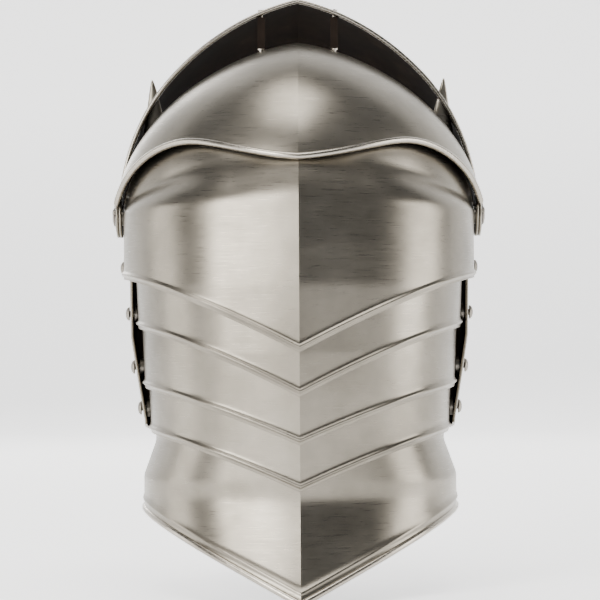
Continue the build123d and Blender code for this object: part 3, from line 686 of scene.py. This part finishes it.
def neck_border():
    """The rolled border of the neck plate: up one front end, along the lower edge, up the other."""
    turn = side_turns(LAME_END, 70)
    x = around(turn, neck_half(NECK_EDGE[1]), neck_depth(NECK_EDGE[1]), LAME_FORE)[0]
    z = v_edge(x, NECK_EDGE, neck_lower_half, 1.0)
    x, y = around(turn, neck_half(z), neck_depth(z), LAME_FORE)
    low = np.stack([x, y, z], axis=-1)
    climb = np.linspace(NECK_EDGE[1], LAME_EDGES[2][1] - 2.0, 18)[1:]
    sides = []
    for side in (-1, 1):
        end = np.full(climb.shape, side * LAME_END)
        x_side, y_side = around(end, neck_half(climb), neck_depth(climb), LAME_FORE)
        sides.append(np.stack([x_side, y_side, climb], axis=-1))
    path = np.concatenate([sides[0][::-1], low, sides[1]])
    inward = unit(path * (1.0, 1.0, 0.0))
    return path - inward * NECK_ROLL_INSET


tube("neck_plate_rolled_border", neck_border(), NECK_ROLL, "neck_plate", (0.0, 0.0, -150.0),
     material=RIM_STEEL_PAINTED_HIGHLIGHT)


# ---- bevor ------------------------------------------------------------------
BEVOR_TAIL, BEVOR_HIND = 13.0, 111.0
BEVOR_TOP = ((-78.0, -56.0), (-45.0, -18.0))
BEVOR_LOW = ((-60.0, -158.0), (-22.0, -142.0), (BEVOR_TAIL, -136.0))


def bevor_size(z):
    """Half-width and depth of the bevor at a height."""
    heights, halves, depths = zip(*BEVOR_LEVELS)
    return np.interp(z, heights, halves), np.interp(z, heights, depths)


def bevor_grid():
    """Level sections round the chin, from a short tail behind one pivot to the other's."""
    rear = math.asin(BEVOR_TAIL / BEVOR_HIND)
    side = np.pi / 2
    front = side_turns(side, 60)
    tail = np.linspace(side, side + rear, 8)[1:]
    turn = np.concatenate([-tail[::-1], front, tail])
    behind = np.abs(turn) > side

    def section(z):
        half, depth = bevor_size(z)
        x, deep = arch(turn, half, depth, BEVOR_KEEL, BEVOR_REACH, 2.0)
        tail_y = BEVOR_HIND * np.abs(np.cos(turn))
        return np.where(behind, half * np.sin(turn), x), np.where(behind, tail_y, -deep)

    y_mean = section(np.full(turn.shape, -90.0))[1]
    top = np.interp(y_mean, *zip(*BEVOR_TOP))
    low = np.interp(y_mean, *zip(*BEVOR_LOW))
    edge = BEAD_ROWS[:, None]
    middle = np.linspace(0.0, 1.0, 34)[1:-1, None]
    upper = top - edge
    lower = low + edge[::-1]
    z = np.concatenate([upper, upper[-1] + (lower[0] - upper[-1]) * middle, lower])
    x, y = section(z)
    bead = rib(top - z, BEAD_PLACE, BEAD_WIDTH, BEAD_HEIGHT)
    return raised(np.stack([x, y, z], axis=-1), bead, (0.0, 0.0, -95.0))


plate_piece("bevor_sheet", [bevor_grid()], "helmet", (0.0, 0.0, -90.0), ["bevor"])


# ---- rivets -----------------------------------------------------------------
SHANK_RADIUS, SHANK_LENGTH, TAIL_RADIUS = 2.0, 6.0, 3.0
HEAD_EDGE, RIVET_SIDES = 0.25, 28


def domed_rivets(name, places, body, node):
    """Rivets: a quarter-round head turned about its shank, over a plain pin with a flat tail."""
    grow = np.linspace(0.0, np.pi / 2, 9)
    head = np.stack([HEAD_EDGE + (RIVET_RISE - HEAD_EDGE) * np.sin(grow),
                     RIVET_HEAD * np.cos(grow)], axis=-1)
    tail = 1.0 - SHANK_LENGTH
    profile = np.concatenate([
        [[-SHANK_LENGTH, 0.0], [-SHANK_LENGTH, TAIL_RADIUS], [tail, TAIL_RADIUS],
         [tail, SHANK_RADIUS], [0.0, SHANK_RADIUS], [0.0, RIVET_HEAD * 0.96]], head])
    profile[-1, 1] = 0.0
    turn = np.linspace(0.0, 2 * np.pi, RIVET_SIDES, endpoint=False)
    vertices, faces = [], []
    for x, y, z in places:
        side = 1.0 if x > 0 else -1.0
        out = x + side * profile[:, 0:1] + 0 * turn[None, :]
        grid = np.stack([out, y + profile[:, 1:2] * np.cos(turn),
                         z + profile[:, 1:2] * np.sin(turn)], axis=-1)
        faces += grid_faces(len(profile), RIVET_SIDES, sum(map(len, vertices)), wrap=True)
        vertices.append(grid.reshape(-1, 3))
    piece = mesh_object(name, np.concatenate(vertices), faces, (RIVET_STEEL,))
    close_outwards(piece, merge=0.01)
    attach(piece, body)
    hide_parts(node)


def rivet_places(node):
    """Seat of each of a node's rivets: under its head, on the rivets' own height."""
    low, high = (np.array(corner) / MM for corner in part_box(node))
    seat = high[0] - RIVET_RISE
    z = 0.5 * (low[2] + high[2])
    return [(seat, 0.0, z), (-seat, 0.0, z)]


for node in ("cheek_rivets", "lame_rivets_1", "lame_rivets_2", "lame_rivets_3"):
    domed_rivets(node + "_domed", rivet_places(node), "helmet", node)


# ---- padding ----------------------------------------------------------------
CAP_LINE = ((-104.0, 44.0), (-75.9, 42.4), (-36.0, 12.4))
CAP_OUTER, CAP_INNER = 2.2, 11.0
QUILT_OUTER, QUILT_INNER = 0.6, -2.2


def cap_grid(inset, quilt):
    """Rings of the padded cap from its rim to its crown: each direction meets the dome where
    (x/half)^power + (away/radius)^power = 1; the quilt pulls it in between its channels."""
    half, radius = SKULL_HALF - inset, DOME_RADIUS - inset
    azimuth = np.linspace(0.0, 2 * np.pi, 240, endpoint=False)[None, :]

    def surface(elevation):
        direction = np.stack([np.cos(elevation) * np.sin(azimuth), np.cos(elevation) * np.cos(azimuth),
                              np.sin(elevation) + 0 * azimuth], axis=-1)
        away = np.hypot(direction[..., 1], direction[..., 2])
        scale = ((np.abs(direction[..., 0]) / half) ** DOME_POWER
                 + (away / radius) ** DOME_POWER) ** (-1.0 / DOME_POWER)
        return direction * scale[..., None], scale

    elevation = np.full(azimuth.shape, 0.12)
    for _ in range(8):
        points, scale = surface(elevation)
        floor = np.interp(points[..., 1], *zip(*CAP_LINE))
        elevation = np.arcsin(np.clip(floor / scale, 0.0, 0.99))
    share = np.linspace(0.0, 1.0, 60)[:, None]
    points, scale = surface(elevation + (0.5 * np.pi - 0.02 - elevation) * share)
    channel = np.abs(np.sin(8.0 * azimuth)) ** 0.5 * np.abs(np.sin(3.5 * np.pi * share)) ** 0.35
    pull = quilt * (1.0 - channel[..., None]) * (1.0 - share[..., None] ** 6) / 100.0
    return points * (1.0 - pull)


def padded_cap():
    """The padded cap: outer rings from crown to rim, then inner rings from rim to crown."""
    outer = cap_grid(CAP_OUTER, QUILT_OUTER)
    inner = cap_grid(CAP_INNER, QUILT_INNER)
    rim = 0.5 * (outer[0] + inner[0]) + (0.0, 0.0, -0.3)
    rings = np.concatenate([outer[::-1], rim[None], inner])
    piece = mesh_object("quilted_cap", rings.reshape(-1, 3), ring_faces(*rings.shape[:2]), (LINEN,))
    close_outwards(piece)
    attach(piece, "helmet")
    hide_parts("liner")
    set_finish(piece, "quilted_linen")


padded_cap()


BAND_LOW, BAND_HIGH, BAND_INSET, BAND_THICKNESS = -29.6, -12.4, 2.1, 1.8


def band_grid():
    """The leather band round the back of the cap, inside the skull."""
    limit = math.acos((17.0 / 110.0) ** (BACK_POWER / 2))
    turn = side_turns(limit, 60)[None, :]
    z = np.linspace(BAND_LOW, BAND_HIGH, 10)[:, None]
    x, y = arch(turn, SKULL_HALF - BAND_INSET, back_depth(z) - BAND_INSET, KEEL, KEEL_REACH,
                BACK_POWER)
    return np.stack([x, y, z + 0 * x], axis=-1)


band = plate_piece("cap_band", [band_grid()], "helmet", (0.0, 0.0, -20.0), ["liner_band"],
                   thickness=BAND_THICKNESS, crease=False, materials=(BROWN_LEATHER,))
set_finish(band, "strap_leather")


# ---- chin straps ------------------------------------------------------------
STRAP_Y, STRAP_Z = -30.0, -50.0
STRAP_GAP, STRAP_HALF = 1.6, 8.0
STRAP_ROWS, STRAP_SIDES = 60, 28


def strap(name, side, end, node):
    """A leather strap: a flat oval section carried along a smooth line from the bevor's rivet
    to the buckle, a little thicker along its middle."""
    half, depth = bevor_size(STRAP_Z)
    slope = math.sqrt(1.0 - (STRAP_Y / depth) ** 2)
    lean = -half * STRAP_Y / (depth * depth * slope)
    out = np.array([1.0, -lean, 0.0]) / math.hypot(1.0, lean)
    top = np.array([half * slope, STRAP_Y, STRAP_Z]) - out * (PLATE + LEATHER / 2 + STRAP_GAP)
    knots = np.array([top + (0, 0, 9), top - (0, 0, 9), (84.0, -34.0, -104.0), (58.0, -38.0, -134.0),
                      (34.0, -40.0, -143.5), end])
    faces_out = np.array([out, out, (0.93, 0.0, -0.37), (0.72, 0.0, -0.69), (0.38, 0.0, -0.92),
                          (0.2, 0.0, -0.98)])
    step = np.concatenate([[0.0], np.cumsum(np.linalg.norm(np.diff(knots, axis=0), axis=1))])
    where = np.linspace(0.0, step[-1], STRAP_ROWS)
    line = np.stack([np.interp(where, step, knots[:, axis]) for axis in range(3)], axis=-1)
    face = np.stack([np.interp(where, step, faces_out[:, axis]) for axis in range(3)], axis=-1)
    for _ in range(3):
        line[1:-1] = 0.25 * line[:-2] + 0.5 * line[1:-1] + 0.25 * line[2:]
    along = unit(np.gradient(line, axis=0))
    wide = unit(np.cross(along, face))
    thick = np.cross(wide, along)
    turn = np.linspace(0.0, 2 * np.pi, STRAP_SIDES, endpoint=False)
    section_wide = STRAP_HALF * np.sign(np.cos(turn)) * np.abs(np.cos(turn)) ** 0.35
    section_thick = LEATHER / 2 * np.sign(np.sin(turn)) * np.abs(np.sin(turn)) ** 0.5
    grid = (line[:, None, :] + wide[:, None, :] * section_wide[None, :, None]
            + thick[:, None, :] * section_thick[None, :, None])
    grid[..., 0] *= side
    piece = mesh_object(name, grid.reshape(-1, 3), ring_faces(STRAP_ROWS, STRAP_SIDES),
                        (BROWN_LEATHER,))
    close_outwards(piece)
    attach(piece, "helmet")
    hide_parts(node)
    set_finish(piece, "strap_leather")


strap("chin_strap_left", 1, (15.4, -40.0, -149.0), "strap_left")
strap("chin_strap_right", -1, (8.0, -40.0, -146.0), "strap_right")

# The sight bridges take the near-black inner steel, whose dark colour is painted shade.
for node, finish in (("buckle_frame", BRASS), ("buckle_tongue", BRASS), ("arm_rivets", RIVET_STEEL),
                     ("sight_bridges", INNER_STEEL_PAINTED_SHADE), ("bridge_rivets", RIM_STEEL_PAINTED_HIGHLIGHT),
                     # the bridge rivets and lifting peg take the lighter rim steel, a painted
                     # highlight
                     ("lifting_peg", RIM_STEEL_PAINTED_HIGHLIGHT), ("pivot_bolts", RIVET_STEEL),
                     ("pivot_nuts", RIVET_STEEL), ("pivot_washers", RIVET_STEEL),
                     ("strap_rivets", RIVET_STEEL), ("lame_spacers", RIVET_STEEL)):
    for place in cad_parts[node].material_slots:
        place.material = finish

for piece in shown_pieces():
    if piece.name.split(".")[0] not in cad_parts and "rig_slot" not in piece:
        words = [material.name for material in piece.data.materials if material]
        if STEEL.name in words or RIM_STEEL_PAINTED_HIGHLIGHT.name in words:
            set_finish(piece, "polished_steel")
        elif RIVET_STEEL.name in words:
            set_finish(piece, "rivet_steel")


# ---- room, light and camera -------------------------------------------------
def backdrop_finish():
    """Matt white paper with a faint tooth."""
    material, tree, surface, place = shader("white_paper")
    surface.inputs["Base Color"].default_value = (0.9, 0.9, 0.9, 1.0)
    surface.inputs["Roughness"].default_value = 0.9
    surface.inputs["Emission Color"].default_value = (1.0, 1.0, 1.0, 1.0)
    surface.inputs["Emission Strength"].default_value = 1.15
    bumped(tree, surface, ((stretched_noise(tree, place, 300.0, 2.0), 0.0001, 0.1),))
    return material


def backdrop():
    """One sheet of paper: a level floor that curves up to an upright wall on the face's side."""
    floor_z = min(corner[2] for corner in cad_box) / MM - 2.0
    across = np.linspace(-6000.0, 6000.0, 9)[:, None]
    bend = np.linspace(0.0, np.pi / 2, 14)
    y = np.concatenate([[5000.0], -1800.0 - 500.0 * np.sin(bend), [-2300.0]])
    z = np.concatenate([[0.0], 500.0 * (1.0 - np.cos(bend)), [5000.0]])
    grid = np.stack([across + 0 * y, y + 0 * across, floor_z + z + 0 * across], axis=-1)
    piece = mesh_object("paper_backdrop", grid.reshape(-1, 3), grid_faces(*grid.shape[:2]),
                        (backdrop_finish(),))


backdrop()

world = bpy.data.worlds.new("room")
world.use_nodes = True
world.node_tree.nodes["Background"].inputs["Color"].default_value = (0.93, 0.95, 1.0, 1.0)
world.node_tree.nodes["Background"].inputs["Strength"].default_value = 0.17
bpy.context.scene.world = world


def soft_light(name, place, target, width, height, power, colour=(1.0, 0.98, 0.95)):
    """A rectangular soft box that faces the helmet."""
    light = bpy.data.lights.new(name, "AREA")
    light.shape = "RECTANGLE"
    light.size, light.size_y = width, height
    light.energy = power
    light.color = colour
    lamp = bpy.data.objects.new(name, light)
    bpy.context.scene.collection.objects.link(lamp)
    lamp.location = place
    lamp.rotation_euler = (Vector(target) - Vector(place)).to_track_quat("-Z", "Y").to_euler()


soft_light("left_box", (1.05, 1.35, 0.45), (0, 0, -0.05), 0.55, 1.3, 32.0)
soft_light("right_box", (-1.7, 0.35, 0.25), (0, 0, -0.05), 0.9, 1.4, 26.0)
soft_light("far_left_box", (1.7, 0.0, 0.1), (0, 0, -0.05), 0.8, 1.4, 14.0)
soft_light("top_box", (0.1, 0.4, 1.7), (0, 0, 0), 1.3, 1.0, 26.0)
soft_light("face_box", (0.2, -1.6, 0.7), (0, 0, -0.05), 1.4, 1.0, 20.0)

camera = bpy.data.cameras.new("camera")
camera.lens = 150.0
camera.sensor_width = 36.0
camera.clip_end = 30.0
eye = bpy.data.objects.new("camera", camera)
bpy.context.scene.collection.objects.link(eye)
ROLL = math.radians(0.35)
eye.location = (-0.0005, 1.65, -0.0555)
eye.rotation_euler = (math.pi / 2, ROLL, math.pi)
bpy.context.scene.camera = eye
